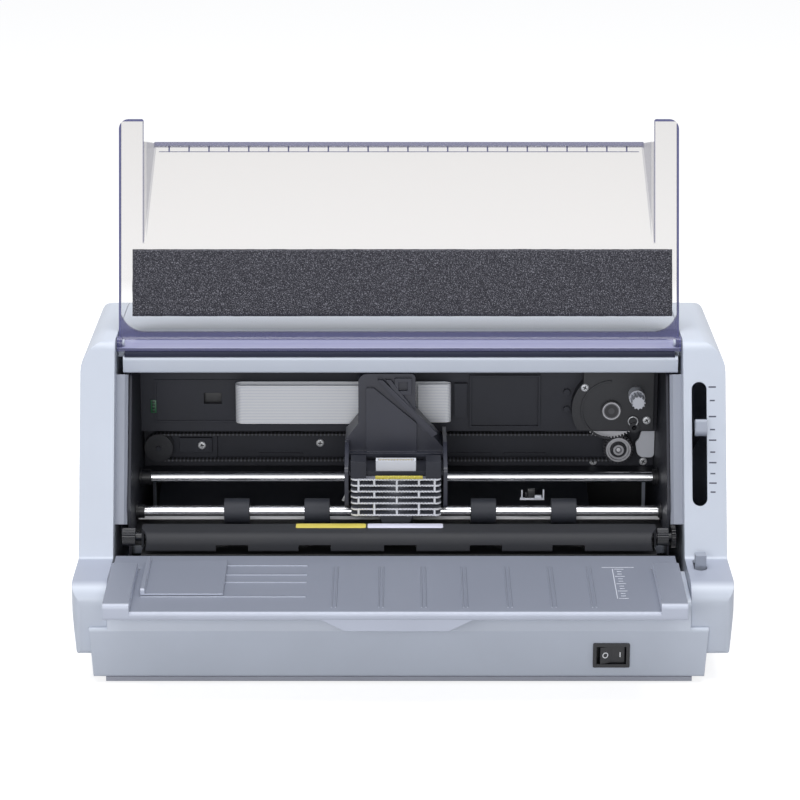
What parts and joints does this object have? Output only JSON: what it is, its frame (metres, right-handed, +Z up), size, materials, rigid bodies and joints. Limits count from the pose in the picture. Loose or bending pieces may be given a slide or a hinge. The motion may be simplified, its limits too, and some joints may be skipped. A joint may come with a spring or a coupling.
{
  "type": "dot matrix printer",
  "caption": "Flatbed dot matrix printer with a see-through lid that lifts, a feed tray that tilts, a belt-driven print head carriage, geared paper rollers, levers and a power rocker.",
  "frame": {"origin": "centre of the bounding box's bottom face, on the table under the feet", "axes": "+X to the right as seen from the front, -Y out of the front (tray side), +Z up"},
  "size_m": [0.49, 0.37, 0.3887],
  "materials": {
    "housing": "fine satin moulded grain",
    "housing_grey": "satin",
    "cover_clear": "tinted and see-through, polished",
    "foam": "open-cell foam, matte",
    "black_plastic": "satin",
    "dark_metal": "satin",
    "steel_bright": "ground",
    "steel_sheet": "plated",
    "roller_rubber": "matte",
    "gear_white": "satin",
    "fin_metal": "cast, satin",
    "head_metal": "satin",
    "belt_rubber": "ribbed",
    "cable_film": "smooth film",
    "knob_grey": "satin",
    "feet_rubber": "matte",
    "circuit_board": "solder mask",
    "connector_white": "satin",
    "motor_metal": "satin"
  },
  "bodies": {
    "chassis": {"base": "housing", "bottom_plate": "steel_sheet", "rubber_feet": "feet_rubber", "cheek_left": "housing", "cheek_right": "housing", "opening_rails": "housing_grey", "cover_beam": "housing", "rear_cover": "housing", "rear_panel": "housing", "frame_plate_left": "dark_metal", "frame_plate_right": "dark_metal", "carriage_wall": "dark_metal", "front_guide": "black_plastic", "lower_guide": "black_plastic", "platen": "steel_bright", "steel_strip": "steel_bright", "rear_paper_guide": "black_plastic", "main_shaft": "steel_bright", "feed_motor": "motor_metal", "drive_belt": "belt_rubber", "belt_tensioner": "steel_sheet", "carriage_motor": "motor_metal", "gear_cover": "black_plastic", "pulley_guard": "connector_white", "flat_cable": "cable_film", "switch_bezel": "black_plastic", "main_board": "circuit_board", "power_supply": "steel_sheet", "interface_ports": "steel_sheet", "mains_inlet": "black_plastic", "frame_screws": "steel_bright"},
    "front_cover": {"front_cover": "cover_clear", "cover_foam": "foam"},
    "front_tray": {"front_tray": "housing_grey"},
    "edge_guide": {"edge_guide": "housing_grey"},
    "carriage": {"carriage_body": "black_plastic", "print_head": "head_metal", "heat_sink": "fin_metal", "head_cradle": "dark_metal", "head_connector": "connector_white"},
    "feed_shaft": {"feed_shaft": "steel_bright", "feed_rollers": "roller_rubber", "feed_gear": "gear_white"},
    "front_rollers": {"front_rollers": "black_plastic", "front_gear": "gear_white"},
    "idler_gear": {"idler_gear": "gear_white"},
    "feed_pinion": {"feed_pinion": "gear_white"},
    "drive_pulley": {"drive_pulley": "steel_bright"},
    "idler_pulley": {"idler_pulley": "black_plastic"},
    "ribbon_gear": {"ribbon_gear": "gear_white"},
    "ribbon_spindle": {"ribbon_spindle": "gear_white"},
    "thickness_lever": {"thickness_lever": "dark_metal", "lever_knob": "knob_grey"},
    "release_lever": {"release_lever": "knob_grey"},
    "power_rocker": {"power_rocker": "black_plastic"}
  },
  "joints": [
    {"name": "front_cover", "type": "hinge", "parent": "chassis", "child": "front_cover", "pos_m": [-0.003, 0.0015, 0.2265], "axis": [-1, 0, 0], "range_deg": [-175.6, 0]},
    {"name": "front_tray", "type": "hinge", "parent": "chassis", "child": "front_tray", "pos_m": [-0.003, -0.082, 0.07556], "axis": [-1, 0, 0], "range_deg": [0, 60]},
    {"name": "edge_guide", "type": "slide", "parent": "front_tray", "child": "edge_guide", "axis": [1, 0, 0], "range_m": [0, 0.06]},
    {"name": "carriage", "type": "slide", "parent": "chassis", "child": "carriage", "axis": [1, 0, 0], "range_m": [-0.125, 0.12], "deforming": ["flat_cable"]},
    {"name": "drive_pulley", "type": "hinge", "parent": "chassis", "child": "drive_pulley", "pos_m": [0.1718, 0.075, 0.1209], "axis": [0, 1, 0], "range_deg": [-720, 720]},
    {"name": "idler_pulley", "type": "hinge", "parent": "chassis", "child": "idler_pulley", "pos_m": [-0.1948, 0.075, 0.1209], "axis": [0, 1, 0], "range_deg": [-720, 720]},
    {"name": "ribbon_gear", "type": "hinge", "parent": "chassis", "child": "ribbon_gear", "pos_m": [0.16406, 0.068, 0.15892], "axis": [0, 1, 0], "range_deg": [-360, 360]},
    {"name": "ribbon_spindle", "type": "hinge", "parent": "chassis", "child": "ribbon_spindle", "pos_m": [0.18337, 0.056, 0.17179], "axis": [0, 1, 0], "range_deg": [-480, 480]},
    {"name": "feed_shaft", "type": "hinge", "parent": "chassis", "child": "feed_shaft", "pos_m": [-0.003, 0.003, 0.0905], "axis": [1, 0, 0], "continuous": true},
    {"name": "idler_gear", "type": "hinge", "parent": "chassis", "child": "idler_gear", "pos_m": [0.207, -0.03057, 0.08898], "axis": [1, 0, 0], "continuous": true},
    {"name": "front_rollers", "type": "hinge", "parent": "chassis", "child": "front_rollers", "pos_m": [-0.003, -0.05214, 0.088], "axis": [1, 0, 0], "continuous": true},
    {"name": "feed_pinion", "type": "hinge", "parent": "chassis", "child": "feed_pinion", "pos_m": [0.207, 0.00856, 0.05899], "axis": [1, 0, 0], "continuous": true},
    {"name": "thickness_lever", "type": "hinge", "parent": "chassis", "child": "thickness_lever", "pos_m": [0.2249, 0.054, 0.1232], "axis": [1, 0, 0], "range_deg": [-15, 26.5]},
    {"name": "release_lever", "type": "hinge", "parent": "chassis", "child": "release_lever", "pos_m": [0.2229, -0.088, 0.0405], "axis": [1, 0, 0], "range_deg": [-15, 0]},
    {"name": "power_rocker", "type": "hinge", "parent": "chassis", "child": "power_rocker", "pos_m": [0.1542, -0.125, 0.0226], "axis": [0, 0, 1], "range_deg": [-18, 0]}
  ],
  "couplings": [
    {"joint": "drive_pulley", "follows": "carriage", "rad_per_m": -93.458},
    {"joint": "idler_pulley", "follows": "carriage", "rad_per_m": -93.458},
    {"joint": "ribbon_gear", "follows": "carriage", "rad_per_m": 37.925},
    {"joint": "ribbon_spindle", "follows": "carriage", "rad_per_m": -53.727},
    {"joint": "idler_gear", "follows": "feed_shaft", "ratio": -1.4706},
    {"joint": "front_rollers", "follows": "feed_shaft", "ratio": 2.5},
    {"joint": "feed_pinion", "follows": "feed_shaft", "ratio": -1.6667}
  ]
}
